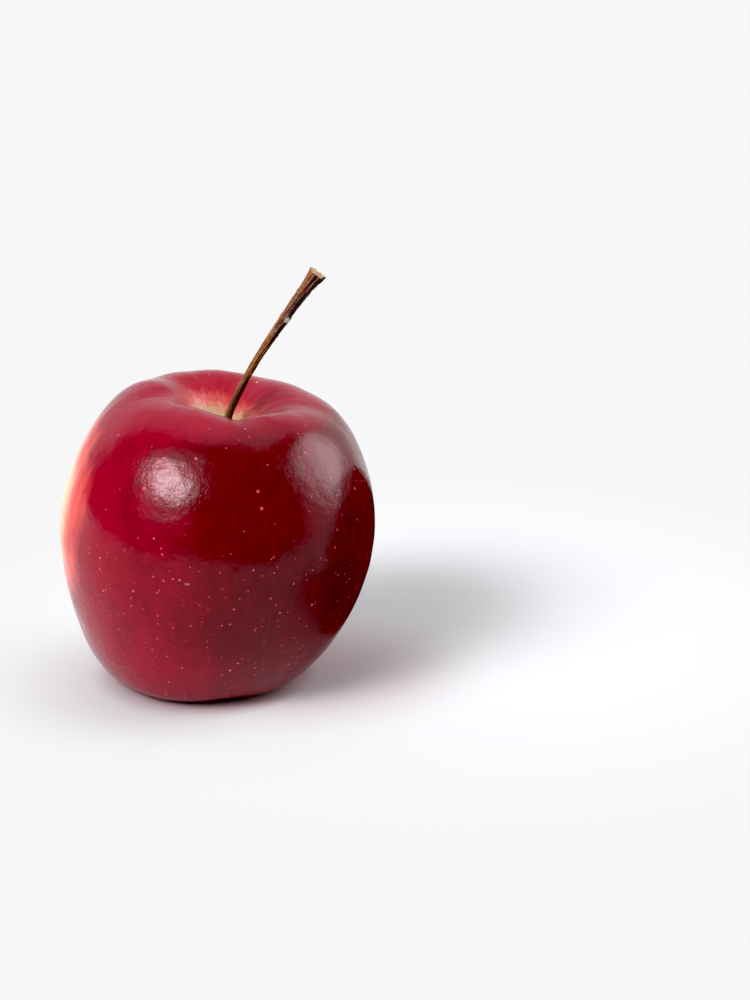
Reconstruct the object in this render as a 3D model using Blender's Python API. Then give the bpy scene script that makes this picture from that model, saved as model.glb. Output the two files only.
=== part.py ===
"""A dessert apple, standing on the lobes round its eye.

Metres, +Z up. The origin is on the resting plane, below the middle of the fruit. +X is the side that
the stem leans to. Pieces: the fruit, its stem, five sepals and the dried stamens in the eye.
"""

import math

import bmesh
import bpy
from mathutils import Matrix, Vector
from mathutils.geometry import interpolate_bezier

# ---- Fruit body ----
FRUIT_WIDTH = 0.0764  # across the widest level
SHOULDER_HEIGHT = 0.0714  # top of the shoulder, mean of its high and low side
WIDEST_HEIGHT = 0.0375
SHOULDER_RADIUS = 0.0173  # from the crest's centre to its top line
SHOULDER_CENTRE_X = 0.0025  # the core leans, so the crest's centre lies towards +X
SHOULDER_FALL_X = 0.0021  # how far the crest falls towards +X, and rises towards -X
SHOULDER_RISE_Y = 0.0009  # how far the crest rises towards +Y
CREST_RUN_OUT = 0.0122  # how far the crest's roundness reaches outwards
UPPER_FLANK = 0.0155  # how far the widest level's roundness reaches up
LOWER_FLANK = 0.0160  # and down
FOOT_RUN_OUT = 0.0086  # how far the foot's roundness reaches outwards

# ---- Five lobes, one for each carpel ----
LOBES = 5
FIRST_LOBE = math.radians(-42)  # where one lobe's ridge runs down the fruit
LOBE_SHARPNESS = 0.28  # smaller makes the furrows between lobes narrower
SHOULDER_LOBE = 0.0009  # how deep the furrows are at the crest
FLANK_LOBE = 0.0004  # at the widest level
FOOT_LOBE = 0.0009  # and at the foot

# ---- Stem cavity and the socket that the stem grows from ----
CAVITY_DEPTH = 0.0125
CAVITY_FUNNEL = 0.0050  # how far the cavity's floor opens out like a funnel
CREST_RUN_IN = 0.0070  # how far the crest's roundness reaches into the cavity
SOCKET_DEPTH = 0.0030
SOCKET_X = 0.0014

# ---- Foot, basin and eye ----
FOOT_RADIUS = 0.0177  # from the foot's centre to the middle of its ring
FOOT_CENTRE_X = -0.0040
FOOT_WIDTH = 0.0022
FOOT_PRESS = 0.0003  # how much of each lobe is pressed flat where the fruit rests
BASIN_DEPTH = 0.0080
BASIN_RUN_IN = 0.0045
EYE_CENTRE_X = -0.0028
EYE_RUN_OUT = 0.0030
EYE_MARGIN = 0.0008  # floor left outside the sepals' roots
TUBE_DEPTH = 0.0028

# ---- Stem ----
STEM_FOOT_RADIUS = 0.00095
STEM_NECK_RADIUS = 0.00085  # at its thinnest, just above the fruit
STEM_UPPER_RADIUS = 0.00125
STEM_END_RADIUS = 0.00190  # at the flared end where it parted from the branch
STEM_RISE = 0.0412  # from the cavity's floor to the stem's end
STEM_REACH_X = 0.0231
STEM_REACH_Y = 0.0030
STEM_END_LEAN = math.radians(37)  # from upright, at the flared end
STEM_UPRIGHT_RUN = 0.0110  # how far the upright start carries into the bend
STEM_LEANING_RUN = 0.0160  # and how far the leaning end does
STEM_FLARE_LENGTH = 0.0042

# ---- Sepals and stamens ----
SEPALS = 5
SEPAL_LENGTH = 0.0062
SEPAL_WIDTH = 0.0026
SEPAL_THICKNESS = 0.00055
SEPAL_NARROWING = 0.86  # share of the width that is lost by the tip
SEPAL_BELLY = 1.8  # larger keeps the sepal wide for longer
SEPAL_CURL = math.radians(80)  # how far the tip turns outwards
SEPAL_CURL_DELAY = 1.6  # larger keeps the root straight for longer
SEPAL_CUP = 0.00035  # how far the edges stand in towards the eye's middle
TUFT_RADIUS = 0.0015
TUFT_LENGTH = 0.0046
TUFT_RIBS = 10
TUFT_GROOVE = 0.82  # share of the radius left between two ribs

GAP = 0.0003  # between two pieces that touch

# ---- How finely the surfaces are divided ----
ROUND_STEPS = 60
CAVITY_STEPS = 9
SHOULDER_STEPS = 11
FLANK_STEPS = 13
FOOT_STEPS = 3
BASIN_STEPS = 8
STEM_STEPS = 10
STEM_BEVEL_STEPS = 6
SEPAL_STEPS = 7

# ---- Sizes that follow from the ones above ----
SOCKET_RADIUS = STEM_FOOT_RADIUS + GAP
CAVITY_FLOOR = SHOULDER_HEIGHT - CAVITY_DEPTH
SOCKET_FLOOR = CAVITY_FLOOR - SOCKET_DEPTH
TUBE_RADIUS = TUFT_RADIUS + GAP
CLEAR_OF_TUBE = TUBE_RADIUS + GAP + SEPAL_CUP + SEPAL_THICKNESS / 2
SIDE_BY_SIDE = (SEPAL_WIDTH / 2 + GAP) / math.tan(math.pi / SEPALS) + SEPAL_CUP
SEPAL_ROOT_RADIUS = max(CLEAR_OF_TUBE, SIDE_BY_SIDE)
EYE_RADIUS = SEPAL_ROOT_RADIUS + SEPAL_THICKNESS / 2 + EYE_MARGIN
TUBE_CEILING = BASIN_DEPTH + TUBE_DEPTH


def clear_scene():
    for thing in list(bpy.data.objects):
        bpy.data.objects.remove(thing, do_unlink=True)


def make_material(name, colour, roughness):
    material = bpy.data.materials.new(name)
    material.use_nodes = True
    shader = material.node_tree.nodes["Principled BSDF"]
    shader.inputs["Base Color"].default_value = (*colour, 1.0)
    shader.inputs["Roughness"].default_value = roughness
    shader.inputs["Metallic"].default_value = 0.0
    return material


def add_object(name, data, material):
    thing = bpy.data.objects.new(name, data)
    data.materials.append(material)
    bpy.context.scene.collection.objects.link(thing)
    return thing


def lobe(angle):
    """1 on a lobe's ridge and 0 in the furrow between two lobes, with broad ridges and narrow furrows."""
    wave = math.cos(LOBES / 2 * (angle - FIRST_LOBE))
    soft = math.hypot(wave, LOBE_SHARPNESS) - LOBE_SHARPNESS
    return soft / (math.hypot(1, LOBE_SHARPNESS) - LOBE_SHARPNESS)


def at(angle, centre_x, radius, height):
    """A point at an angle and radius round an upright line that stands at centre_x."""
    return Vector((centre_x + radius * math.cos(angle), radius * math.sin(angle), height))


def crest_height(angle):
    tilt = SHOULDER_RISE_Y * math.sin(angle) - SHOULDER_FALL_X * math.cos(angle)
    return SHOULDER_HEIGHT + tilt - SHOULDER_LOBE * (1 - lobe(angle))


def foot_height(angle):
    return FOOT_LOBE * (1 - lobe(angle)) - FOOT_PRESS


def cavity(angle):
    """From the socket's rim up to the crest."""
    crest = crest_height(angle)
    return (
        at(angle, SOCKET_X, SOCKET_RADIUS, CAVITY_FLOOR),
        at(angle, SOCKET_X, SOCKET_RADIUS + CAVITY_FUNNEL, CAVITY_FLOOR + CAVITY_FUNNEL),
        at(angle, SHOULDER_CENTRE_X, SHOULDER_RADIUS - CREST_RUN_IN, crest),
        at(angle, SHOULDER_CENTRE_X, SHOULDER_RADIUS, crest),
        CAVITY_STEPS,
    )


def shoulder(angle):
    """From the crest down to the widest level."""
    crest = crest_height(angle)
    widest = FRUIT_WIDTH / 2 - FLANK_LOBE * (1 - lobe(angle))
    return (
        at(angle, SHOULDER_CENTRE_X, SHOULDER_RADIUS, crest),
        at(angle, SHOULDER_CENTRE_X, SHOULDER_RADIUS + CREST_RUN_OUT, crest),
        at(angle, 0, widest, WIDEST_HEIGHT + UPPER_FLANK),
        at(angle, 0, widest, WIDEST_HEIGHT),
        SHOULDER_STEPS,
    )


def flank(angle):
    """From the widest level down to the foot."""
    foot = foot_height(angle)
    widest = FRUIT_WIDTH / 2 - FLANK_LOBE * (1 - lobe(angle))
    return (
        at(angle, 0, widest, WIDEST_HEIGHT),
        at(angle, 0, widest, WIDEST_HEIGHT - LOWER_FLANK),
        at(angle, FOOT_CENTRE_X, FOOT_RADIUS + FOOT_WIDTH / 2 + FOOT_RUN_OUT, foot),
        at(angle, FOOT_CENTRE_X, FOOT_RADIUS + FOOT_WIDTH / 2, foot),
        FLANK_STEPS,
    )


def foot_ring(angle):
    """Across the foot, in even steps."""
    foot = foot_height(angle)
    return (
        at(angle, FOOT_CENTRE_X, FOOT_RADIUS + FOOT_WIDTH / 2, foot),
        at(angle, FOOT_CENTRE_X, FOOT_RADIUS + FOOT_WIDTH / 6, foot),
        at(angle, FOOT_CENTRE_X, FOOT_RADIUS - FOOT_WIDTH / 6, foot),
        at(angle, FOOT_CENTRE_X, FOOT_RADIUS - FOOT_WIDTH / 2, foot),
        FOOT_STEPS,
    )


def basin(angle):
    """From the foot's inner edge up to the floor of the eye."""
    foot = foot_height(angle)
    return (
        at(angle, FOOT_CENTRE_X, FOOT_RADIUS - FOOT_WIDTH / 2, foot),
        at(angle, FOOT_CENTRE_X, FOOT_RADIUS - FOOT_WIDTH / 2 - BASIN_RUN_IN, foot),
        at(angle, EYE_CENTRE_X, EYE_RADIUS + EYE_RUN_OUT, BASIN_DEPTH),
        at(angle, EYE_CENTRE_X, EYE_RADIUS, BASIN_DEPTH),
        BASIN_STEPS,
    )


def meridian(angle):
    """The fruit's outline at one angle, from the socket over the shoulder and foot to the tube."""
    points = [
        at(angle, SOCKET_X, SOCKET_RADIUS, SOCKET_FLOOR),
        at(angle, SOCKET_X, SOCKET_RADIUS, CAVITY_FLOOR),
    ]
    for stretch in (cavity, shoulder, flank, foot_ring, basin):
        start, leaving, arriving, end, steps = stretch(angle)
        points += interpolate_bezier(start, leaving, arriving, end, steps + 1)[1:]
    points += [
        at(angle, EYE_CENTRE_X, TUBE_RADIUS, BASIN_DEPTH),
        at(angle, EYE_CENTRE_X, TUBE_RADIUS, TUBE_CEILING),
    ]
    for point in points:
        point.z = max(point.z, 0)  # the lobes are pressed flat on the resting plane
    return points


def skin_rings(mesh, rings):
    """Joins closed rings of vertices, one after the other, with quads."""
    for ring, following in zip(rings, rings[1:]):
        for i, vertex in enumerate(ring):
            j = (i + 1) % len(ring)
            mesh.faces.new((vertex, following[i], following[j], ring[j]))


def close_ring(mesh, ring, centre):
    """Closes a ring with a fan of triangles round a point."""
    middle = mesh.verts.new(centre)
    for i, vertex in enumerate(ring):
        mesh.faces.new((vertex, ring[(i + 1) % len(ring)], middle))


def mesh_from_rings(name, rings_of_points, first_centre, last_centre):
    mesh = bmesh.new()
    rings = [[mesh.verts.new(p) for p in ring] for ring in rings_of_points]
    skin_rings(mesh, rings)
    close_ring(mesh, rings[0], first_centre)
    close_ring(mesh, rings[-1], last_centre)
    bmesh.ops.recalc_face_normals(mesh, faces=mesh.faces)
    data = bpy.data.meshes.new(name)
    mesh.to_mesh(data)
    mesh.free()
    data.shade_smooth()
    data.set_sharp_from_angle(angle=math.radians(50))
    return data


def make_fruit(material):
    meridians = [meridian(2 * math.pi * i / ROUND_STEPS) for i in range(ROUND_STEPS)]
    rings = list(zip(*meridians))
    data = mesh_from_rings(
        "fruit",
        rings,
        Vector((SOCKET_X, 0, SOCKET_FLOOR)),
        Vector((EYE_CENTRE_X, 0, TUBE_CEILING)),
    )
    return add_object("fruit", data, material)


def make_stem(material):
    """A curve that leaves the socket upright, then leans over to the flared end."""
    upright = Vector((0, 0, 1))
    foot = Vector((SOCKET_X, 0, SOCKET_FLOOR + GAP))
    lip = Vector((SOCKET_X, 0, CAVITY_FLOOR))
    end = lip + Vector((STEM_REACH_X, STEM_REACH_Y, STEM_RISE))
    side = Vector((STEM_REACH_X, STEM_REACH_Y, 0)).normalized()
    leaning = side * math.sin(STEM_END_LEAN) + upright * math.cos(STEM_END_LEAN)
    flare = end - leaning * STEM_FLARE_LENGTH
    straight = (lip - foot).length / 3
    flaring = STEM_FLARE_LENGTH / 3
    knots = (  # place, direction, handle behind, handle ahead, radius
        (foot, upright, straight, straight, STEM_FOOT_RADIUS),
        (lip, upright, straight, STEM_UPRIGHT_RUN, STEM_NECK_RADIUS),
        (flare, leaning, STEM_LEANING_RUN, flaring, STEM_UPPER_RADIUS),
        (end, leaning, flaring, flaring, STEM_END_RADIUS),
    )
    curve = bpy.data.curves.new("stem", "CURVE")
    curve.dimensions = "3D"
    curve.resolution_u = STEM_STEPS
    curve.bevel_depth = 1.0  # so that a knot's radius is the stem's own, in metres
    curve.bevel_resolution = STEM_BEVEL_STEPS
    curve.use_fill_caps = True
    spline = curve.splines.new("BEZIER")
    spline.bezier_points.add(len(knots) - 1)
    for point, (place, direction, behind, ahead, radius) in zip(spline.bezier_points, knots):
        point.co = place
        point.handle_left_type = "FREE"
        point.handle_right_type = "FREE"
        point.handle_left = place - direction * behind
        point.handle_right = place + direction * ahead
        point.radius = radius
    return add_object("stem", curve, material)


def sepal_section(share):
    """A sepal's cross-section at a share of its length, as pairs of sideways and outwards."""
    half_width = SEPAL_WIDTH / 2 * (1 - SEPAL_NARROWING * share**SEPAL_BELLY)
    half_thickness = SEPAL_THICKNESS / 2 * (1 - share / 2)
    shoulder_width = half_width / 2
    edge = -SEPAL_CUP * (1 - share)
    return (
        (-half_width, edge),
        (-shoulder_width, half_thickness),
        (shoulder_width, half_thickness),
        (half_width, edge),
        (shoulder_width, -half_thickness),
        (-shoulder_width, -half_thickness),
    )


def sepal_rings():
    """One sepal that grows down from its root at the origin and curls out towards +X."""
    rings = []
    place = Vector((0, 0, 0))
    for i in range(SEPAL_STEPS + 1):
        share = i / SEPAL_STEPS
        turn = SEPAL_CURL * share**SEPAL_CURL_DELAY
        outwards = Vector((math.cos(turn), 0, math.sin(turn)))
        section = sepal_section(share)
        rings.append([place + Vector((0, side, 0)) + outwards * out for side, out in section])
        place = place + Vector((math.sin(turn), 0, -math.cos(turn))) * SEPAL_LENGTH / SEPAL_STEPS
    return rings


def make_sepals(material):
    rings = sepal_rings()
    root = Vector((0, 0, 0))
    tip = sum(rings[-1], Vector()) / len(rings[-1])
    data = mesh_from_rings("sepal", rings, root, tip)
    data.materials.append(material)
    for i in range(SEPALS):
        angle = FIRST_LOBE + 2 * math.pi * i / SEPALS
        sepal = bpy.data.objects.new(f"sepal_{i + 1}", data)
        bpy.context.scene.collection.objects.link(sepal)
        turned = Matrix.Rotation(angle, 3, "Z") @ Vector((SEPAL_ROOT_RADIUS, 0, 0))
        sepal.location = turned + Vector((EYE_CENTRE_X, 0, BASIN_DEPTH - GAP))
        sepal.rotation_euler.z = angle


def make_stamen_tuft(material):
    """The dried stamens and styles as one ribbed plug, standing in the tube and narrowing to its end."""
    outline = ((1.0, 0.0), (0.95, 0.35), (0.8, 0.6), (0.6, 0.85), (0.35, 1.0))  # shares of radius, length
    rings = []
    for share_of_radius, share_of_length in outline:
        ring = []
        for i in range(2 * TUFT_RIBS):
            angle = math.pi * i / TUFT_RIBS
            rib = 1.0 if i % 2 else TUFT_GROOVE
            outwards = Vector((math.cos(angle), math.sin(angle), 0))
            drop = Vector((0, 0, -TUFT_LENGTH * share_of_length))
            ring.append(outwards * TUFT_RADIUS * share_of_radius * rib + drop)
        rings.append(ring)
    data = mesh_from_rings("stamen_tuft", rings, Vector(), Vector((0, 0, -TUFT_LENGTH)))
    tuft = add_object("stamen_tuft", data, material)
    tuft.location = (EYE_CENTRE_X, 0, TUBE_CEILING - GAP)
    return tuft


def centre_on_origin(fruit):
    """Moves every piece so that the fruit's widest level is centred over the origin."""
    xs = [v.co.x for v in fruit.data.vertices]
    ys = [v.co.y for v in fruit.data.vertices]
    middle = Vector(((min(xs) + max(xs)) / 2, (min(ys) + max(ys)) / 2, 0))
    apple = bpy.data.objects.new("apple", None)
    bpy.context.scene.collection.objects.link(apple)
    for piece in list(bpy.context.scene.collection.objects):
        if piece is not apple:
            piece.parent = apple
    apple.location = -middle


def main():
    clear_scene()
    skin = make_material("skin", (0.35, 0.012, 0.03), 0.25)
    bark = make_material("bark", (0.09, 0.045, 0.02), 0.6)
    dried_leaf = make_material("dried_leaf", (0.16, 0.10, 0.05), 0.8)
    dried_stamens = make_material("dried_stamens", (0.07, 0.04, 0.02), 0.8)
    fruit = make_fruit(skin)
    make_stem(bark)
    make_sepals(dried_leaf)
    make_stamen_tuft(dried_stamens)
    centre_on_origin(fruit)


main()
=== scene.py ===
import math
import random

import bmesh
import bpy
import numpy as np
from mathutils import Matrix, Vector, noise


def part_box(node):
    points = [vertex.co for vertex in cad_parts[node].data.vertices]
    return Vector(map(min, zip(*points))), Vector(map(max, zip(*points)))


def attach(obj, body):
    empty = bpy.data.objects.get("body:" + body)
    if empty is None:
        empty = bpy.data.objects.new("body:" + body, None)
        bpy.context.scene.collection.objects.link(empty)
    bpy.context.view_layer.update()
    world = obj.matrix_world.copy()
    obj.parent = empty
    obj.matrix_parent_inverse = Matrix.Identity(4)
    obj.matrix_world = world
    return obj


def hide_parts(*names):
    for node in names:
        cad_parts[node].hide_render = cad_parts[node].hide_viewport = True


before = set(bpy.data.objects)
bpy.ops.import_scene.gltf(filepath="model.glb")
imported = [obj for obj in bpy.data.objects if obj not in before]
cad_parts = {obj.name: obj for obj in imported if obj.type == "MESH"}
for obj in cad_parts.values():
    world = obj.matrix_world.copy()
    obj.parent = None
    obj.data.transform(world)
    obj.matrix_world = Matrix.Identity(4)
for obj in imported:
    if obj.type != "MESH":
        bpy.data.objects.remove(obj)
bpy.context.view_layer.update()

mm = 0.001  # one millimetre, in metres


class Wire:
    # one output socket of a shader tree, so that shader maths reads as Python
    def __init__(self, paint, socket):
        self.paint = paint
        self.socket = socket

    def maths(self, operation, first, second=0.0):
        return self.paint.node("ShaderNodeMath", {"operation": operation}, {0: first, 1: second})

    def __add__(self, other):
        return self.maths("ADD", self, other)

    def __radd__(self, other):
        return self.maths("ADD", other, self)

    def __sub__(self, other):
        return self.maths("SUBTRACT", self, other)

    def __rsub__(self, other):
        return self.maths("SUBTRACT", other, self)

    def __mul__(self, other):
        return self.maths("MULTIPLY", self, other)

    def __rmul__(self, other):
        return self.maths("MULTIPLY", other, self)

    def __truediv__(self, other):
        return self.maths("DIVIDE", self, other)

    def __pow__(self, other):
        return self.maths("POWER", self, other)

    def least(self, other):
        return self.maths("MINIMUM", self, other)

    def most(self, other):
        return self.maths("MAXIMUM", self, other)


class Paint:
    # a material or a world that is being painted with nodes
    def __init__(self, owner):
        owner.use_nodes = True
        self.owner = owner
        self.tree = owner.node_tree
        self.tree.nodes.clear()

    def node(self, kind, settings=None, sockets=None, output=0):
        made = self.tree.nodes.new(kind)
        for name, value in (settings or {}).items():
            setattr(made, name, value)
        for name, value in (sockets or {}).items():
            socket = made.inputs[name]
            if isinstance(value, Wire):
                self.tree.links.new(value.socket, socket)
            elif socket.type == "RGBA":
                socket.default_value = (*value, 1.0)
            else:
                socket.default_value = value
        return Wire(self, made.outputs[output]) if made.outputs else None

    # position on the piece, in millimetres from the origin
    def place(self):
        at = self.node("ShaderNodeTexCoord", output="Object")
        return self.stretch(at, (1 / mm,) * 3)

    def split(self, vector):
        parts = self.node("ShaderNodeSeparateXYZ", {}, {0: vector})
        outputs = parts.socket.node.outputs
        return [Wire(self, outputs[i]) for i in range(3)]

    def join(self, x, y, z):
        return self.node("ShaderNodeCombineXYZ", {}, {0: x, 1: y, 2: z})

    def stretch(self, vector, factors):
        return self.node("ShaderNodeVectorMath", {"operation": "MULTIPLY"}, {0: vector, 1: factors})

    def shift(self, vector, offset):
        return self.node("ShaderNodeVectorMath", {"operation": "ADD"}, {0: vector, 1: offset})

    def distance(self, vector, point):
        return self.node(
            "ShaderNodeVectorMath", {"operation": "DISTANCE"}, {0: vector, 1: point}, "Value"
        )

    # rises smoothly from 0 at low to 1 at high
    def rise(self, value, low, high):
        return self.node(
            "ShaderNodeMapRange",
            {"interpolation_type": "SMOOTHSTEP"},
            {"Value": value, "From Min": low, "From Max": high},
        )

    # falls smoothly from 1 at low to 0 at high
    def fall(self, value, low, high):
        return 1 - self.rise(value, low, high)

    # grain of a given size in millimetres, from 0 to 1
    def grain(self, vector, size, detail=2.0, roughness=0.5, warp=0.0):
        return self.node(
            "ShaderNodeTexNoise",
            {},
            {
                "Vector": vector,
                "Scale": 1 / size,
                "Detail": detail,
                "Roughness": roughness,
                "Distortion": warp,
            },
        )

    def mix(self, share, first, second):
        return self.node("ShaderNodeMix", {"data_type": "RGBA"}, {0: share, 6: first, 7: second}, 2)

    def bump(self, height, depth):
        return self.node("ShaderNodeBump", {}, {"Height": height, "Distance": depth, "Strength": 1.0})

    # how far a vector reaches along a direction
    def along(self, vector, direction):
        return self.node(
            "ShaderNodeVectorMath", {"operation": "DOT_PRODUCT"}, {0: vector, 1: direction}, "Value"
        )

    def finishWith(self, shader, output="ShaderNodeOutputMaterial"):
        self.node(output, {}, {"Surface": shader})
        return self.owner


# each texture moves the value in and out, by up to half its reach
def ruffle(value, *textures):
    for texture, reach in textures:
        value = value + (texture - 0.5) * reach
    return value


def newPaint(name):
    return Paint(bpy.data.materials.new(name))


def newPiece(name, mesh, material, slot, *nodes):
    mesh.materials.clear()
    mesh.materials.append(material)
    mesh.shade_smooth()
    piece = bpy.data.objects.new(name, mesh)
    bpy.context.scene.collection.objects.link(piece)
    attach(piece, "root")
    if nodes:
        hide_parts(*nodes)
    return piece


# a smooth 0 to 1 step for numpy arrays
def ease(values, low, high):
    share = np.clip((values - low) / (high - low), 0, 1)
    return share * share * (3 - 2 * share)


fruit = {
    "smoothing": 2,  # times that each face is split
    "stemRoot": (1.0 * mm, 0.0, 58.9 * mm),
    "eye": (-3.0 * mm, 0.0, 8.0 * mm),
    "broadLumps": (17 * mm, 0.22 * mm),  # size and height
    "middleLumps": (9 * mm, 0.15 * mm),
    "smallLumps": (4.2 * mm, 0.055 * mm),
    "fullness": 0.38 * mm,  # makes up for what the lumps take away
    "leftFullness": 0.20 * mm,  # more of it on the left
    "folds": 0.50 * mm,  # height of the broad folds that run out over the shoulder
    "wrinkles": (0.09 * mm, 0.7),  # depth of the cavity's wrinkles, and their size across
}


def fruitMesh():
    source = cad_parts["fruit"].data
    bm = bmesh.new()
    bm.from_mesh(source)
    bmesh.ops.remove_doubles(bm, verts=bm.verts, dist=0.002 * mm)
    bmesh.ops.join_triangles(
        bm, faces=bm.faces, angle_face_threshold=3.2, angle_shape_threshold=3.2
    )
    mesh = bpy.data.meshes.new("apple_skin")
    bm.to_mesh(mesh)
    bm.free()
    mesh.materials.clear()
    helper = bpy.data.objects.new("fruitHelper", mesh)
    bpy.context.scene.collection.objects.link(helper)
    finer = helper.modifiers.new("finer", "SUBSURF")
    finer.levels = fruit["smoothing"]
    finer.render_levels = fruit["smoothing"]
    graph = bpy.context.evaluated_depsgraph_get()
    smooth = bpy.data.meshes.new_from_object(helper.evaluated_get(graph))
    bpy.data.objects.remove(helper)
    smooth.name = "apple_skin"
    return smooth


# creases and ridges pressed along lines over the skin: points in mm, half width and lift in mm
strokes = (
    {  # crease that runs down from under the stem
        "line": (
            (3.5, -11.0, 67.5),
            (4.9, -15.1, 69.2),
            (6.3, -19.8, 68.9),
            (8.5, -24.0, 67.0),
            (10.6, -26.5, 64.5),
        ),
        "width": 2.2,
        "lift": -0.34,
    },
    {  # groove on the left shoulder
        "line": ((-18.5, -7.5, 72.0), (-13.5, -3.5, 72.2), (-9.5, 0.0, 71.5)),
        "width": 2.6,
        "lift": -0.26,
    },
    {  # ridge to the right of the cavity's lip
        "line": ((8.0, -15.5, 70.0), (14.0, -11.5, 70.5), (20.0, -12.5, 69.0)),
        "width": 2.4,
        "lift": 0.26,
    },
)


def strokeLift(places, stroke):
    line = np.array(stroke["line"]) * mm
    nearest = np.full(len(places), 1.0)
    fade = np.zeros(len(places))
    runs = len(line) - 1
    for i in range(runs):
        run = line[i + 1] - line[i]
        share = np.clip((places - line[i]) @ run / (run @ run), 0, 1)
        away = np.linalg.norm(places - line[i] - share[:, None] * run, axis=1)
        progress = (i + share) / runs
        closer = away < nearest
        nearest = np.where(closer, away, nearest)
        fade = np.where(closer, ease(progress, -0.1, 0.3) * (1 - ease(progress, 0.6, 1.1)), fade)
    bell = np.exp(-((nearest / (stroke["width"] * mm)) ** 2))
    return bell * fade * stroke["lift"] * mm


# lumps of three sizes, wrinkles and folds that run out of the cavity, and the strokes
def sculptFruit(mesh):
    count = len(mesh.vertices)
    places = np.empty(count * 3)
    mesh.vertices.foreach_get("co", places)
    places = places.reshape(-1, 3)
    normals = np.empty(count * 3)
    mesh.vertex_normals.foreach_get("vector", normals)
    normals = normals.reshape(-1, 3)

    lift = np.zeros(count)
    for size, height in (fruit["broadLumps"], fruit["middleLumps"], fruit["smallLumps"]):
        lift += height * np.array([noise.noise(Vector(p) / size) for p in places])
    root = np.array(fruit["stemRoot"])
    away = np.hypot(places[:, 0] - root[0], places[:, 1] - root[1])
    onTop = ease(places[:, 2], root[2] - 4 * mm, root[2])
    turn = np.arctan2(places[:, 1] - root[1], places[:, 0] - root[0])
    depth, across = fruit["wrinkles"]
    wrinkle = np.array(
        [
            noise.noise(Vector((math.cos(a), math.sin(a), d * 25)) * 9 * across)
            + 0.6 * noise.noise(Vector((math.cos(a), math.sin(a), d * 20)) * 22 * across)
            for a, d in zip(turn, away)
        ]
    )
    inCavity = onTop * ease(away, 1.5 * mm, 5 * mm) * (1 - ease(away, 13 * mm, 26 * mm))
    folds = np.array(
        [noise.noise(Vector((math.cos(a) * 2.2, math.sin(a) * 2.2, d * 60))) for a, d in zip(turn, away)]
    )
    onShoulder = onTop * ease(away, 9 * mm, 16 * mm) * (1 - ease(away, 24 * mm, 36 * mm))
    lift += depth * wrinkle * inCavity
    lift += fruit["folds"] * folds * onShoulder
    for stroke in strokes:
        lift += strokeLift(places, stroke)
    lift += fruit["fullness"] + fruit["leftFullness"] * ease(-places[:, 0], 10 * mm, 30 * mm)
    resting = ease(places[:, 2], 0.2 * mm, 4 * mm)  # the pressed lobes stay flat
    places += normals * (lift * resting)[:, None]
    places[:, 2] = np.maximum(places[:, 2], 0)
    mesh.vertices.foreach_set("co", places.ravel())
    mesh.update()


skin = {
    "deep": (0.110, 0.0, 0.003),
    "crimson": (0.258, 0.0006, 0.016),
    "crown": (0.30, 0.002, 0.026),
    "paintedShade": (0.062, 0.0, 0.002),
    "scarlet": (0.44, 0.002, 0.010),
    "rose": (0.62, 0.055, 0.07),
    "salmon": (0.66, 0.17, 0.13),
    "peach": (1.0, 0.50, 0.32),
    "cream": (1.0, 0.84, 0.55),
    "orange": (0.98, 0.09, 0.06),
    "russet": (0.42, 0.33, 0.19),
    "russetDark": (0.16, 0.11, 0.05),
    "green": (0.42, 0.40, 0.10),
    "lenticel": (0.68, 0.085, 0.14),
    "paleLenticel": (0.78, 0.42, 0.36),
    "deepAndShadedSide": (0.78, -0.45, -0.08),  # the side where the crimson is deepest, and where painted shade darkens it further
    "darkening": {"deep": (-16, 18), "paintedShade": (18, 40)},
    "clouds": 16,  # sizes of the skin's clouds, mottles and speckles, in mm
    "mottles": 2.6,
    "speckles": 0.9,
    # the shaded side: its middle, and how far each colour is full and gone, in mm
    "blushMiddle": (-41, 6, 44),
    "blush": (("orange", 18, 30), ("peach", 13, 23), ("cream", 6, 17)),
    # colours round the stem's root: full within, gone outside (mm), strength
    "stemRoot": (1, 0, 0),
    "cavity": (
        ("rose", 7, 14, 0.35),
        ("salmon", 6.4, 10.5, 0.65),
        ("russet", 5.2, 8.0, 1.0),
    ),
    "darkRoot": (1.2, 4.5, 0.8),
    # colours round the eye underneath
    "eye": (-3, 0, 0),
    "basin": (("rose", 9, 17, 0.85), ("green", 6, 12, 0.9), ("russetDark", 2.6, 5, 0.7)),
    "relief": 0.030 * mm,  # depth of the peel's texture
    "roughness": 0.14,
    "gloss": 0.42,
    "glossTint": (1.0, 0.74, 0.80),
}


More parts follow.
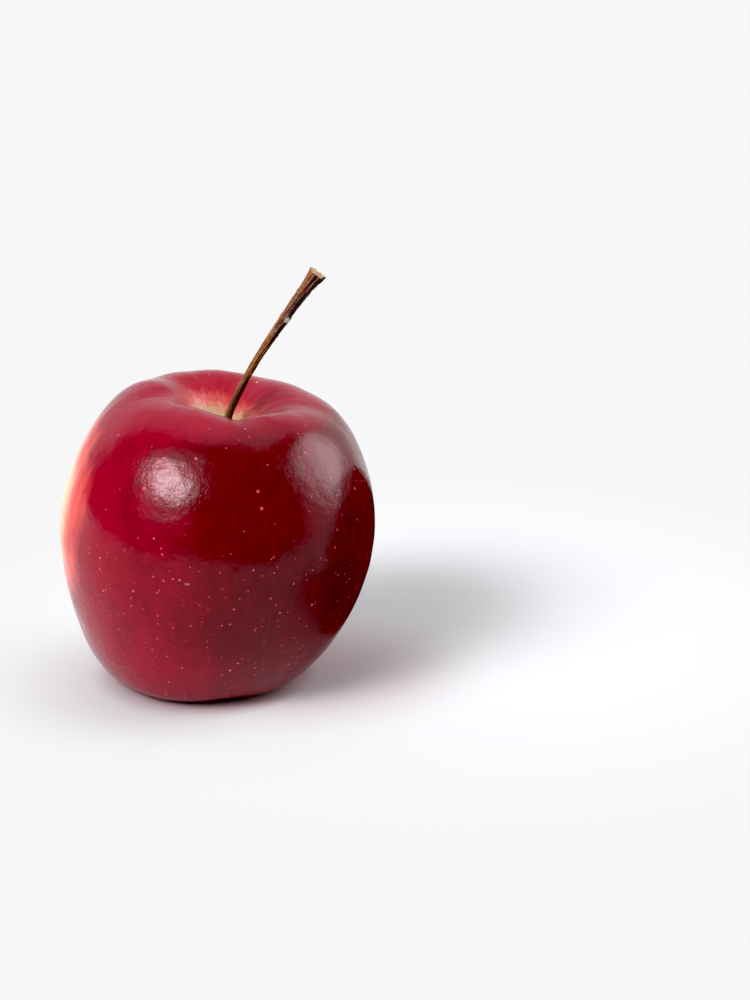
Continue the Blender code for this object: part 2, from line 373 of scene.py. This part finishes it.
def skinMaterial():
    paint = newPaint("apple_skin")
    place = paint.place()
    x, y, z = paint.split(place)

    # the axis leans, so directions are taken from a line between the eye and the stem's root
    lean = z * 0.1
    dx = x + 4.0 - lean
    radius = (dx * dx + y * y + 0.01) ** 0.5
    meridian = paint.join(dx / radius, y / radius, z * 0.004)
    streakFine = paint.grain(meridian, 0.030, 5, 0.62)
    streakWide = paint.grain(paint.shift(meridian, (7, 3, 1)), 0.16, 3, 0.55)
    cloud = paint.grain(place, skin["clouds"], 3, 0.5, 0.6)
    speckle = paint.grain(place, skin["speckles"], 3, 0.6)
    mottle = paint.grain(place, skin["mottles"], 4, 0.65)

    # crimson that deepens in clouds and along the meridians
    deepeningAndShade = paint.along(place, skin["deepAndShadedSide"])
    deepeningAndShade = ruffle(deepeningAndShade, (cloud, 38), (streakWide, 16), (streakFine, 9), (mottle, 26))
    # lighter on the crown, near the foot and on the right shoulder, darker below the crown
    deepeningAndShade = deepeningAndShade - paint.rise(z, 64, 72) * 14 - paint.fall(z, 2, 30) * 17
    deepeningAndShade = deepeningAndShade - paint.rise(x, 12, 28) * paint.rise(z, 44, 58) * 14
    deepeningAndShade = deepeningAndShade + paint.rise(z, 48, 60) * paint.fall(z, 64, 69) * paint.rise(x, -30, -4) * 12
    # deep crimson is the skin's own colour; the still darker colour beyond it is painted shade on the
    # front right
    base = paint.mix(paint.rise(deepeningAndShade, *skin["darkening"]["deep"]), skin["crimson"], skin["deep"])
    base = paint.mix(paint.rise(deepeningAndShade, *skin["darkening"]["paintedShade"]), base, skin["paintedShade"])
    crown = paint.rise(ruffle(z, (cloud, 8)), 66, 72)
    crown = crown * paint.rise(streakFine * 0.5 + streakWide * 0.6 + mottle * 0.5, 0.60, 1.0)
    base = paint.mix(crown * 0.85, base, skin["crown"])
    base = paint.mix(paint.rise(streakFine, 0.50, 0.72) * 0.10, base, skin["scarlet"])
    base = paint.mix(paint.rise(speckle, 0.52, 0.72) * 0.05, base, skin["rose"])

    # the side that stayed shaded on the tree: cream at its middle, peach and orange towards its edges;
    # these colours are the skin's own, made brighter as painted light from the left
    shade = paint.distance(place, skin["blushMiddle"])
    shade = ruffle(shade, (streakWide, 9), (streakFine, 5), (cloud, 12))
    for colour, full, gone in skin["blush"]:
        base = paint.mix(paint.fall(shade, full, gone), base, skin[colour])

    # stem cavity: rose and salmon streaks, then russet round the stem
    rootAway = paint.distance(paint.join(x, y, 0), skin["stemRoot"])
    onTop = paint.rise(z, 52, 58)
    cavity = ruffle(rootAway, (streakFine, 2.6), (speckle, 3.2), (mottle, 2))
    for colour, full, gone, strength in skin["cavity"]:
        russet = paint.fall(cavity, full, gone) * onTop  # the last one is the russet
        base = paint.mix(russet * strength, base, skin[colour])
    full, gone, strength = skin["darkRoot"]
    darkRoot = paint.fall(rootAway, full, gone) * onTop
    base = paint.mix(darkRoot * strength, base, skin["russetDark"])

    # basin underneath: greenish yellow that breaks into rose
    eyeAway = paint.distance(paint.join(x, y, 0), skin["eye"])
    below = paint.fall(z, 9, 14)
    basin = ruffle(eyeAway, (streakFine, 9), (streakWide, 5))
    for colour, full, gone, strength in skin["basin"]:
        base = paint.mix(paint.fall(basin, full, gone) * below * strength, base, skin[colour])

    # lenticels: few and large near the shoulder, small and dense near the foot
    high = paint.rise(z, 26, 60)
    bare = 1 - russet.most(paint.fall(rootAway, 4, 6) * onTop)
    base, dots = addLenticels(paint, base, place, high, bare)
    base, scar = addScars(paint, base, place, speckle)

    # height for the bump: peel texture, lenticels, russet
    peel = paint.grain(place, 0.5, 2, 0.5)
    pores = paint.grain(place, 2.6, 2, 0.45)
    scratches = paint.grain(meridian, 0.007, 3, 0.6, 0.4)
    crepe = paint.grain(place, 1.2, 3, 0.55, 1.2)
    height = peel * 0.35 + pores * 4.0 + crepe * 1.2 + scratches * 0.9 + dots * 0.5
    height = height + (russet + scar) * speckle * 2.5
    rough = ruffle(skin["roughness"], (cloud, 0.08), (pores, 0.10)) + russet * 0.42 + dots * 0.15
    shader = paint.node(
        "ShaderNodeBsdfPrincipled",
        {},
        {
            "Base Color": base,
            "Roughness": rough.least(0.8),
            "Normal": paint.bump(height, skin["relief"]),
            "IOR": 1.42,
            "Specular IOR Level": skin["gloss"],
            "Specular Tint": skin["glossTint"],
        },
    )
    return paint.finishWith(shader)


scars = {
    "spot": ((-7.6, -37.6, 36.8), 0.55),  # middle and radius in mm
    "lowLine": ((28.2, -23.0, 25.2), (22.2, -24.6, 17.3)),
    "colour": (0.32, 0.13, 0.075),
}


# a corky spot at the front and a thin brown line low on the right
def addScars(paint, base, place, speckle):
    middle, radius = scars["spot"]
    offset = paint.stretch(paint.shift(place, tuple(-c for c in middle)), (0.6, 0.5, 1.0))
    ragged = ruffle(paint.distance(offset, (0, 0, 0)), (speckle, 0.8))
    spot = paint.fall(ragged, radius * 0.4, radius * 0.8)
    start, end = Vector(scars["lowLine"][0]), Vector(scars["lowLine"][1])
    run = end - start
    fromStart = paint.shift(place, tuple(-start))
    share = paint.along(fromStart, run / run.length_squared)
    nearest = paint.node("ShaderNodeVectorMath", {"operation": "SCALE"}, {0: tuple(run), "Scale": share})
    wander = paint.grain(place, 3.0, 2)
    away = ruffle(paint.distance(fromStart, nearest), (wander, 1.6), (speckle, 0.7))
    ends = paint.rise(share, -0.1, 0.1) * paint.fall(share, 0.85, 1.1)
    lowLine = paint.fall(away, 0.10, 0.40) * ends * paint.rise(speckle, 0.38, 0.55)
    scar = spot.most(lowLine)
    return paint.mix(scar * 0.8, base, scars["colour"]), scar


lenticels = (  # cell in mm, dot radius in mm, share shown low down, share shown high up
    {"cell": 1.9, "radius": 0.38, "low": 0.85, "high": 0.14, "pale": 0.03},
    {"cell": 3.7, "radius": 0.56, "low": 0.35, "high": 0.75, "pale": 0.08},
)


def addLenticels(paint, base, place, high, bare):
    allDots = None
    for i, kind in enumerate(lenticels):
        spread = paint.shift(place, (13.7 * i, 5.1 * i, 9.3 * i))
        cell = {"Vector": spread, "Scale": 1 / kind["cell"], "Randomness": 1.0}
        distance = paint.node("ShaderNodeTexVoronoi", {}, cell, "Distance")
        chance = Wire(paint, distance.socket.node.outputs["Color"])
        pick, tone, size = paint.split(chance)
        shown = kind["low"] + (kind["high"] - kind["low"]) * high
        reach = kind["radius"] / kind["cell"] * (0.55 + 0.45 * size)
        dot = paint.fall(distance / reach, 0.25, 1.0) * paint.rise(shown - pick, -0.02, 0.02)
        dot = dot * bare
        colour = paint.mix(
            paint.rise(tone, 1 - kind["pale"] - 0.05, 1 - kind["pale"] + 0.05),
            skin["lenticel"],
            skin["paleLenticel"],
        )
        base = paint.mix(dot * 0.9, base, colour)
        allDots = dot if allDots is None else allDots.most(dot)
    return base, allDots


def makeFruit():
    mesh = fruitMesh()
    sculptFruit(mesh)
    return newPiece("apple_skin", mesh, skinMaterial(), "skin", "fruit")


makeFruit()
print("fruit made")

stem = {
    "lean": math.radians(37),  # of the flared end, from upright
    "uprightRun": 11.0 * mm,
    "leaningRun": 16.0 * mm,
    "socketDepth": 2.7 * mm,
    "sides": 56,
    "rings": 260,
    # share of the length, radius in mm
    "outline": (
        (0.0, 1.22),
        (0.05, 1.22),
        (0.10, 1.12),
        (0.17, 0.94),
        (0.26, 0.90),
        (0.34, 0.98),
        (0.42, 0.86),
        (0.52, 0.88),
        (0.62, 1.02),
        (0.72, 1.13),
        (0.84, 1.28),
        (0.94, 1.52),
        (1.0, 2.02),
    ),
    # bud scar and callus: share of the length, bearing round the stem,
    # height as a share of the radius, reach as a share of the length
    "scars": ((0.74, 62, 0.42, 0.022), (0.635, 115, 0.26, 0.024)),
}


def bezierPoint(p, t):
    s = 1 - t
    return p[0] * s**3 + p[1] * 3 * s * s * t + p[2] * 3 * s * t * t + p[3] * t**3


# the middle line of the CAD stem, as many evenly spaced points
def stemRoute():
    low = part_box("stem")[0]
    corners = [v.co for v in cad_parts["stem"].data.vertices]
    footRing = [c for c in corners if c.z < low.z + 0.1 * mm]
    foot = sum(footRing, Vector()) / len(footRing)
    tipward = Vector((math.sin(stem["lean"]), 0, math.cos(stem["lean"])))
    farthest = max(c.dot(tipward) for c in corners)
    endRing = [c for c in corners if c.dot(tipward) > farthest - 0.6 * mm]
    end = sum(endRing, Vector()) / len(endRing)
    side = Vector((end.x - foot.x, end.y - foot.y, 0)).normalized()
    tipward = side * math.sin(stem["lean"]) + Vector((0, 0, math.cos(stem["lean"])))
    lip = foot + Vector((0, 0, stem["socketDepth"]))
    bend = (
        lip,
        lip + Vector((0, 0, stem["uprightRun"])),
        end - tipward * stem["leaningRun"],
        end,
    )
    fine = [foot + (lip - foot) * i / 10 for i in range(10)]
    fine += [bezierPoint(bend, i / 400) for i in range(401)]
    return fine, tipward


def evenly(points, count):
    path = np.array(points)
    steps = np.r_[0, np.cumsum(np.linalg.norm(np.diff(path, axis=0), axis=1))]
    at = np.linspace(0, steps[-1], count)
    return np.stack([np.interp(at, steps, path[:, i]) for i in range(3)], axis=1)


def smoothOutline(outline, shares):
    knots, radii = np.array(outline).T
    fine = np.interp(np.linspace(0, 1, 400), knots, radii)
    kernel = np.hanning(25)
    padded = np.pad(fine, 12, mode="edge")
    fine = np.convolve(padded, kernel / kernel.sum(), mode="valid")
    return np.interp(shares, np.linspace(0, 1, 400), fine) * mm


def stemMesh():
    points, tipward = stemRoute()
    rings = stem["rings"]
    sides = stem["sides"]
    centres = evenly(points, rings)
    shares = np.linspace(0, 1, rings)
    radii = smoothOutline(stem["outline"], shares)
    along = np.gradient(centres, axis=0)
    along /= np.linalg.norm(along, axis=1)[:, None]
    front = np.array((0, -1, 0))  # the side towards the viewer of the front
    bm = bmesh.new()
    alongLayer = bm.verts.layers.float.new("along")
    reliefLayer = bm.verts.layers.float.new("relief")
    unrolledLayer = bm.verts.layers.float_vector.new("unrolled")
    loops = []
    for i in range(rings):
        across = np.cross(along[i], front)
        across /= np.linalg.norm(across)
        facing = np.cross(across, along[i])
        loop = []
        for j in range(sides):
            angle = 2 * math.pi * j / sides
            relief = stemRelief(angle, shares[i])
            radius = radii[i] * (1 + relief)
            # across points to the stem's right, facing to the front
            spoke = across * math.cos(angle) + facing * math.sin(angle)
            tear = stemTear(angle) * ease(shares[i], 0.985, 1.0)
            vert = bm.verts.new(centres[i] + spoke * radius + along[i] * tear)
            vert[alongLayer] = shares[i]
            vert[unrolledLayer] = (math.cos(angle), math.sin(angle), shares[i] * 50)
            vert[reliefLayer] = relief
            loop.append(vert)
        loops.append(loop)
    closeStemEnd(bm, loops, centres[-1], along[-1], (alongLayer, reliefLayer))
    foot = bm.verts.new(centres[0])
    for j in range(sides):
        bm.faces.new((foot, loops[0][(j + 1) % sides], loops[0][j]))
    bmesh.ops.recalc_face_normals(bm, faces=bm.faces)
    mesh = bpy.data.meshes.new("stem_bark")
    bm.to_mesh(mesh)
    bm.free()
    return mesh


# long ridges that deepen towards the flared end, knobbly bark, a bud scar and a callus
def stemRelief(angle, share):
    flare = ease(share, 0.86, 1.0)
    twist = angle + share * 1.4
    spot = Vector((math.cos(twist), math.sin(twist), 0))
    ridge = noise.noise(spot * 2.6 + Vector((0, 0, share * 5)))
    fineRidge = noise.noise(spot * 3.4 + Vector((0, 0, share * 9)))
    knobs = noise.noise(spot * 1.6 + Vector((3, 1, share * 42)))
    grit = noise.noise(spot * 5 + Vector((9, 4, share * 110)))
    relief = ridge * (0.10 + 0.04 * flare) + fineRidge * (0.15 + 0.08 * flare)
    relief += knobs * 0.10 + grit * 0.03
    for middle, bearing, height, length in stem["scars"]:
        away = (share - middle) / length
        turned = (angle - math.radians(bearing) + math.pi) % (2 * math.pi) - math.pi
        relief += height * math.exp(-away * away - (turned / 0.55) ** 2)
        relief += 0.2 * height * math.exp(-away * away * 0.5)
    return relief


# how far each side of the torn end stands out along the stem
def stemTear(angle):
    spot = Vector((math.cos(angle), math.sin(angle), 0))
    slant = -0.40 * math.sin(angle)  # the front of the rim is torn lower
    shred = 0.6 * math.exp(-((math.sin(angle / 2) / 0.12) ** 2))  # a shred of bark on the right
    torn = noise.noise(spot * 1.8) * 0.3 + noise.noise(spot * 5.0) * 0.15
    return (slant + shred + torn) * mm


def closeStemEnd(bm, loops, centre, along, layers):
    alongLayer, reliefLayer = layers
    sides = len(loops[0])
    for first, second in zip(loops, loops[1:]):
        for j in range(sides):
            k = (j + 1) % sides
            bm.faces.new((first[j], first[k], second[k], second[j]))
    previous = loops[-1]
    middle = Vector(centre + along * 0.30 * mm)
    for step, sink in ((0.88, 0.02), (0.72, 0.06), (0.48, -0.04), (0.24, 0.02)):
        ring = []
        for j, outer in enumerate(loops[-1]):
            spot = middle.lerp(outer.co, step)
            rough = noise.noise(spot / (0.35 * mm)) * 0.12 * mm
            spot = spot - Vector(along) * (sink * mm + rough)
            vert = bm.verts.new(spot)
            vert[alongLayer] = 1.0 + (1 - step)
            vert[reliefLayer] = 0.0
            ring.append(vert)
        for j in range(sides):
            k = (j + 1) % sides
            bm.faces.new((previous[j], previous[k], ring[k], ring[j]))
        previous = ring
    tip = bm.verts.new(middle)
    tip[alongLayer] = 2.0
    for j in range(sides):
        bm.faces.new((previous[j], previous[(j + 1) % sides], tip))


bark = {
    "ochre": (0.30, 0.088, 0.017),
    "umber": (0.075, 0.018, 0.007),
    "brown": (0.060, 0.015, 0.007),
    "redBrown": (0.165, 0.044, 0.022),
    "black": (0.016, 0.003, 0.004),
    "lichen": (0.40, 0.33, 0.28),
    "scar": (0.46, 0.41, 0.34),
    "paintedHighlight": (0.50, 0.22, 0.07),
    "cut": (0.64, 0.42, 0.20),
    "cutDark": (0.22, 0.10, 0.035),
    "paintedLightFrom": (-0.80, -0.30, 0.52),  # the direction that the painted light comes from
    "relief": 0.12 * mm,
}


def barkMaterial():
    paint = newPaint("stem_bark")
    place = paint.place()
    along = paint.node("ShaderNodeAttribute", {"attribute_name": "along"}, {}, "Fac")
    relief = paint.node("ShaderNodeAttribute", {"attribute_name": "relief"}, {}, "Fac")
    normal = paint.node("ShaderNodeNewGeometry", {}, {}, "Normal")
    facing = paint.along(normal, bark["paintedLightFrom"])
    # grain runs along the stem
    unrolled = paint.node("ShaderNodeAttribute", {"attribute_name": "unrolled"}, {}, "Vector")
    fibre = paint.grain(paint.stretch(unrolled, (1, 1, 0.10)), 0.55, 2, 0.5, 0.4)
    patch = paint.grain(place, 2.4, 2, 0.5)
    flake = paint.grain(paint.stretch(unrolled, (1, 1, 0.28)), 0.50, 1, 0.5)

    upper = paint.rise(along, 0.66, 0.82)
    warm = paint.mix(paint.rise(along, 0.22, 0.48), bark["umber"], bark["ochre"])
    warm = paint.mix(upper, warm, bark["redBrown"])
    base = paint.mix(paint.rise(fibre, 0.36, 0.60), bark["brown"], warm)
    # painted shade: the stem turns very dark on the side away from the painted light
    dark = paint.fall(ruffle(facing, (patch, 0.9), (fibre, 0.8)), 0.0, 0.40)
    base = paint.mix(dark * 0.93, base, bark["black"])
    # painted shade in the grooves between the ridges
    base = paint.mix(paint.fall(relief, -0.12, 0.0) * 0.8, base, bark["black"])
    lichen = paint.rise(flake, 0.64, 0.71) * paint.rise(patch, 0.44, 0.56)
    base = paint.mix(lichen * (0.10 + 0.6 * upper), base, bark["lichen"])
    # painted highlight: a warm sheen on the side towards the painted light
    edge = paint.rise(facing, 0.72, 0.95)
    base = paint.mix(edge * 0.3, base, bark["paintedHighlight"])
    base = paint.mix(paint.rise(ruffle(relief, (flake, 0.3)), 0.27, 0.37), base, bark["scar"])
    cut = paint.rise(along, 1.0, 1.08)
    rings = paint.grain(place, 0.30, 3, 0.6)
    cutColour = paint.mix(paint.rise(rings, 0.42, 0.60), bark["cutDark"], bark["cut"])
    base = paint.mix(cut, base, cutColour)

    height = fibre * 0.7 + flake * 0.6 + patch * 0.3
    shader = paint.node(
        "ShaderNodeBsdfPrincipled",
        {},
        {
            "Base Color": base,
            "Roughness": 0.26 + fibre * 0.3 + lichen * 0.3,
            "Normal": paint.bump(height, bark["relief"]),
            "Specular IOR Level": 0.22,
        },
    )
    return paint.finishWith(shader)


stemBark = barkMaterial()
newPiece("stem_bark", stemMesh(), stemBark, "bark", "stem")
print("stem made")

sepal = {
    "steps": 22,
    "columns": 11,
    "thickness": 0.16 * mm,
    "tipWidth": 0.10 * mm,
    "curl": math.radians(150),
    "colour": (0.17, 0.11, 0.06),
    "down": (0.46, 0.42, 0.33),
    "edge": (0.05, 0.03, 0.015),
}


# a thin leaf that fills its CAD solid: it grows down from the root and curls out
def sepalMesh(name):
    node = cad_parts[name]
    low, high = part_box(name)
    corners = [v.co for v in node.data.vertices]
    rootRing = [c for c in corners if c.z > high.z - 0.05 * mm]
    root = sum(rootRing, Vector()) / len(rootRing)
    eye = Vector((fruit["eye"][0], fruit["eye"][1], root.z))
    outwards = (root - eye).normalized()
    side = Vector((0, 0, 1)).cross(outwards)
    drop = root.z - low.z
    draw = random.Random(name)
    curl = sepal["curl"] * draw.uniform(0.75, 1.05)
    sway = draw.uniform(-0.5, 0.5)
    seed = draw.uniform(0, 50)
    widest = max(abs((c - root).dot(side)) for c in corners) * 1.25
    length = drop * 1.25
    bm = bmesh.new()
    place = root.copy()
    rows = []
    for i in range(sepal["steps"] + 1):
        share = i / sepal["steps"]
        turn = curl * share**2.2
        direction = outwards * math.sin(turn) + Vector((0, 0, -math.cos(turn)))
        facing = outwards * math.cos(turn) + Vector((0, 0, math.sin(turn)))
        half = widest * (1 - share**1.6) * (0.8 + 0.5 * share) + sepal["tipWidth"]
        row = []
        for j in range(sepal["columns"]):
            v = 2 * j / (sepal["columns"] - 1) - 1
            ragged = 1 + 0.16 * noise.noise(Vector((share * 9, v * 1.5, seed)))
            cup = -0.30 * mm * v * v + 0.10 * mm * math.exp(-((v / 0.18) ** 2))
            ripple = 0.22 * mm * share * noise.noise(Vector((share * 4, v * 2, seed + 9)))
            spot = place + side * (v * half * ragged + sway * share * share * mm)
            row.append(bm.verts.new(spot + facing * (cup + ripple)))
        rows.append(row)
        place = place + direction * length / sepal["steps"]
    for first, second in zip(rows, rows[1:]):
        for j in range(sepal["columns"] - 1):
            bm.faces.new((first[j], first[j + 1], second[j + 1], second[j]))
    bmesh.ops.recalc_face_normals(bm, faces=bm.faces)
    bmesh.ops.solidify(bm, geom=bm.faces[:], thickness=sepal["thickness"])
    mesh = bpy.data.meshes.new(name + "_leaf")
    bm.to_mesh(mesh)
    bm.free()
    return mesh


def leafMaterial():
    paint = newPaint("dried_sepal")
    place = paint.place()
    veins = paint.grain(paint.stretch(place, (1, 1, 0.3)), 0.25, 4, 0.6)
    felt = paint.grain(place, 0.16, 4, 0.7)
    patch = paint.grain(place, 1.4, 2)
    base = paint.mix(paint.rise(veins, 0.35, 0.65), sepal["edge"], sepal["colour"])
    base = paint.mix(paint.rise(felt, 0.50, 0.68) * 0.55, base, sepal["down"])
    base = paint.mix(paint.rise(patch, 0.55, 0.7) * 0.6, base, sepal["edge"])
    shader = paint.node(
        "ShaderNodeBsdfPrincipled",
        {},
        {
            "Base Color": base,
            "Roughness": 0.75 + felt * 0.2,
            "Normal": paint.bump(veins + felt * 0.8, 0.08 * mm),
            "Specular IOR Level": 0.25,
        },
    )
    return paint.finishWith(shader)


stamens = {
    "threads": 22,
    "styles": 5,
    "threadRadius": 0.10 * mm,
    "styleRadius": 0.20 * mm,
    "rings": 14,
    "sides": 8,
    "dark": (0.03, 0.015, 0.008),
    "light": (0.16, 0.09, 0.04),
}


# dried threads that stand close together in the tube and spread at their ends
def stamenMesh():
    low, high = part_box("stamen_tuft")
    middle = (low + high) / 2
    reach = (high.x - low.x) / 2
    draw = random.Random(5)
    bm = bmesh.new()
    total = stamens["threads"] + stamens["styles"]
    for i in range(total):
        isStyle = i < stamens["styles"]
        angle = draw.uniform(0, 2 * math.pi)
        away = reach * (0.25 if isStyle else draw.uniform(0.45, 0.82))
        radius = stamens["styleRadius"] if isStyle else stamens["threadRadius"]
        length = (high.z - low.z) * draw.uniform(0.75, 0.98)
        lean = draw.uniform(-0.35, 0.25) * reach
        swirl = draw.uniform(-0.5, 0.5)
        rings = []
        for k in range(stamens["rings"]):
            share = k / (stamens["rings"] - 1)
            turned = angle + swirl * share
            out = away + lean * share * share
            centre = Vector((middle.x + out * math.cos(turned), middle.y + out * math.sin(turned), 0))
            centre.z = high.z - length * share
            swell = 1 + (0.9 if share > 0.86 else 0) - 0.25 * share
            ring = []
            for s in range(stamens["sides"]):
                a = 2 * math.pi * s / stamens["sides"]
                spoke = Vector((math.cos(a), math.sin(a), 0)) * radius * swell
                ring.append(bm.verts.new(centre + spoke))
            rings.append(ring)
        for first, second in zip(rings, rings[1:]):
            for s in range(stamens["sides"]):
                t = (s + 1) % stamens["sides"]
                bm.faces.new((first[s], first[t], second[t], second[s]))
        bm.faces.new(rings[0])
        bm.faces.new(rings[-1][::-1])
    bmesh.ops.recalc_face_normals(bm, faces=bm.faces)
    mesh = bpy.data.meshes.new("stamen_threads")
    bm.to_mesh(mesh)
    bm.free()
    return mesh


def threadMaterial():
    paint = newPaint("dried_stamens")
    place = paint.place()
    grit = paint.grain(place, 0.3, 3)
    base = paint.mix(paint.rise(grit, 0.35, 0.65), stamens["dark"], stamens["light"])
    shader = paint.node(
        "ShaderNodeBsdfPrincipled",
        {},
        {
            "Base Color": base,
            "Roughness": 0.7 + grit * 0.25,
            "Normal": paint.bump(grit, 0.05 * mm),
            "Specular IOR Level": 0.3,
        },
    )
    return paint.finishWith(shader)


driedLeaf = leafMaterial()
for number in range(1, 6):
    nodeName = f"sepal_{number}"
    newPiece(nodeName + "_leaf", sepalMesh(nodeName), driedLeaf, "dried_leaf", nodeName)
newPiece("stamen_threads", stamenMesh(), threadMaterial(), "dried_stamens", "stamen_tuft")
print("eye made")

# outline in metres, the rest in mm; pairs say where a patch is full and where it is gone
table = {
    "outline": ((-3, 3), (-3, -0.60), (-0.30, -0.50), (0.16, -0.24), (3, -0.24), (3, 3)),
    "paper": (0.64, 0.65, 0.67),
    "paperGrain": (0.63, 0.64, 0.66),
    "grain": 6,
    # painted red bounce light and painted shadow in the paper's colour, all round the fruit's foot and
    # on its right
    "blush": (0.30, 0.12, 0.15),
    "bounceShadeShare": 0.75,
    "foot": (-2, 0, 0),
    "footBounceShade": (20, 32),
    "side": (25, -1, 0),
    "sideBounceShade": (10, 46),
    "sideShare": 0.5,
    # the paper turns into pure white between these distances, but not close to the foot
    "whiteMiddle": (55, 30, 0),
    "white": (45, 140),
    "footWhite": (22, 62),
}

studio = {
    "background": 0.93,
    "dim": 0.05,  # brightness of the studio where the viewer stands
    "behind": 0.75,
    "right": 0.90,
    "above": 1.05,
    "middle": Vector((0, 0, 36 * mm)),
}


# the table ends nearer to the fruit at the front right
def makeFloor():
    corners = [(x, y, 0) for x, y in table["outline"]]
    mesh = bpy.data.meshes.new("floor")
    mesh.from_pydata(corners, [], [range(len(corners))])
    floor = bpy.data.objects.new("floor", mesh)
    bpy.context.scene.collection.objects.link(floor)
    paint = newPaint("white_paper")
    place = paint.place()
    away = paint.distance(place, table["whiteMiddle"])
    grain = paint.grain(place, table["grain"], 3)
    colour = paint.mix(grain, table["paper"], table["paperGrain"])
    sideAway = paint.distance(place, table["side"])
    footAway = paint.distance(place, table["foot"])
    # painted shadow and red bounce light, mixed into the paper's colour
    blush = paint.fall(sideAway, *table["sideBounceShade"]) * table["sideShare"]
    blush = blush.most(paint.fall(footAway, *table["footBounceShade"]))
    paper = paint.node(
        "ShaderNodeBsdfPrincipled",
        {},
        {
            "Base Color": paint.mix(blush * table["bounceShadeShare"], colour, table["blush"]),
            "Roughness": 0.9,
            "Specular IOR Level": 0.0,
        },
    )
    glow = paint.node(
        "ShaderNodeEmission", {}, {"Color": (1.0, 1.0, 1.0), "Strength": studio["background"]}
    )
    share = paint.rise(away, *table["white"]) * paint.rise(footAway, *table["footWhite"])
    shader = paint.node("ShaderNodeMixShader", {}, {0: share, 1: paper, 2: glow})
    floor.data.materials.append(paint.finishWith(shader))


# glows of the studio: bearing and height of the middle, full within, gone outside, brightness
glows = (
    (-52, 39, 4, 13, 20.0),  # hot middle of the key light
    (-38, 37, 4, 12, 13.0),  # its second lamp
    (-49, 40, 12, 29, 3.0),  # its cloth
    (103, 26, 7, 31, 5.8),  # hot middle of the side panel
)


def bearingVector(bearing, height):
    b, h = math.radians(bearing), math.radians(height)
    return Vector((math.sin(b) * math.cos(h), -math.cos(b) * math.cos(h), math.sin(h)))


# a studio: bright behind the fruit and overhead, dim where the viewer stands
def makeWorld():
    world = bpy.data.worlds.new("studio")
    bpy.context.scene.world = world
    paint = Paint(world)
    direction = paint.node("ShaderNodeTexCoord", output="Generated")
    x, y, z = paint.split(direction)
    flat = (x * x + y * y + 0.001) ** 0.5
    behind = paint.rise(y / flat, 0.50, 0.62)
    right = paint.rise(x / flat, 0.90, 0.96) * paint.rise(z, -0.2, 0.0) * paint.fall(z, 0.6, 0.85)
    above = paint.rise(z * 0.985 + y * 0.17, 0.915, 0.975)
    light = studio["dim"] + behind * (1 - above) * studio["behind"]
    light = light + right * (1 - behind) * studio["right"] + above * studio["above"]
    for bearing, height, inner, outer, brightness in glows:
        towards = paint.along(direction, bearingVector(bearing, height))
        glow = paint.rise(towards, math.cos(math.radians(outer)), math.cos(math.radians(inner)))
        light = light + glow * brightness
    seen = paint.node("ShaderNodeLightPath", output="Is Camera Ray")
    light = light * (1 - seen) + seen * studio["background"]
    shader = paint.node("ShaderNodeBackground", {}, {"Color": (1.0, 1.0, 1.0), "Strength": light})
    paint.finishWith(shader, "ShaderNodeOutputWorld")


flags = {
    "ballRadius": 45 * mm,
    "ballPlace": (78 * mm, 8 * mm, 15 * mm),
    "ballDark": (0.006, 0.0, 0.0),
    "ballGlow": (0.12, 0.008, 0.0),
    "shadeRadius": 80 * mm,
    "shadePlace": (90 * mm, -8 * mm, 1 * mm),
    "shadeColour": (0.05, 0.008, 0.012),
    "shadeFade": (34, 80),  # mm
}


# shown in the fruit's gloss alone
def hideFlag(flag):
    flag.visible_camera = False
    flag.visible_shadow = False
    flag.visible_diffuse = False


# a dark ball beside the fruit, and a soft dark shade on the table under it
def makeFlags():
    bpy.ops.mesh.primitive_uv_sphere_add(
        segments=48, ring_count=24, radius=flags["ballRadius"], location=flags["ballPlace"]
    )
    flag = bpy.context.object
    flag.name = "flag"
    flag.data.shade_smooth()
    paint = newPaint("dark_flag")
    x, y, z = paint.split(paint.place())
    glow = paint.rise(y, -40, 10) * paint.fall(z, -30, 10)
    tone = paint.mix(glow, flags["ballDark"], flags["ballGlow"])
    shader = paint.node("ShaderNodeEmission", {}, {"Color": tone, "Strength": 1.0})
    flag.data.materials.append(paint.finishWith(shader))
    hideFlag(flag)
    bpy.ops.mesh.primitive_circle_add(
        vertices=64, radius=flags["shadeRadius"], fill_type="NGON", location=flags["shadePlace"]
    )
    shade = bpy.context.object
    shade.name = "flag_shade"
    paint = newPaint("soft_shade")
    away = paint.distance(paint.place(), (0, 0, 0))
    dim = paint.node("ShaderNodeEmission", {}, {"Color": flags["shadeColour"], "Strength": 1.0})
    clear = paint.node("ShaderNodeBsdfTransparent")
    fade = paint.rise(away, *flags["shadeFade"])
    soft = paint.node("ShaderNodeMixShader", {}, {0: fade, 1: dim, 2: clear})
    shade.data.materials.append(paint.finishWith(soft))
    hideFlag(shade)


view = {
    "height": 18.7,  # degrees above the fruit's middle
    "distance": 0.600,
    "turn": 3.86,  # degrees that it looks past the fruit, to the right
    "tilt": 17.94,  # degrees that it looks down
    "lens": 88.1,
    "blackLevel": 0.008,
}


def makeCamera():
    lens = bpy.data.cameras.new("camera")
    lens.lens = view["lens"]
    lens.sensor_width = 36.0
    lens.clip_start = 0.01
    camera = bpy.data.objects.new("camera", lens)
    h = math.radians(view["height"])
    camera.location = studio["middle"] + Vector((0, -math.cos(h), math.sin(h))) * view["distance"]
    camera.rotation_euler = (math.radians(90 - view["tilt"]), 0, -math.radians(view["turn"]))
    bpy.context.scene.collection.objects.link(camera)
    bpy.context.scene.camera = camera


def setColours():
    settings = bpy.context.scene.view_settings
    settings.view_transform = "Standard"
    settings.look = "None"
    settings.use_curve_mapping = True
    settings.curve_mapping.black_level = (view["blackLevel"],) * 3
    settings.curve_mapping.update()


makeFloor()
makeWorld()
makeFlags()
makeCamera()
setColours()
print("studio made")
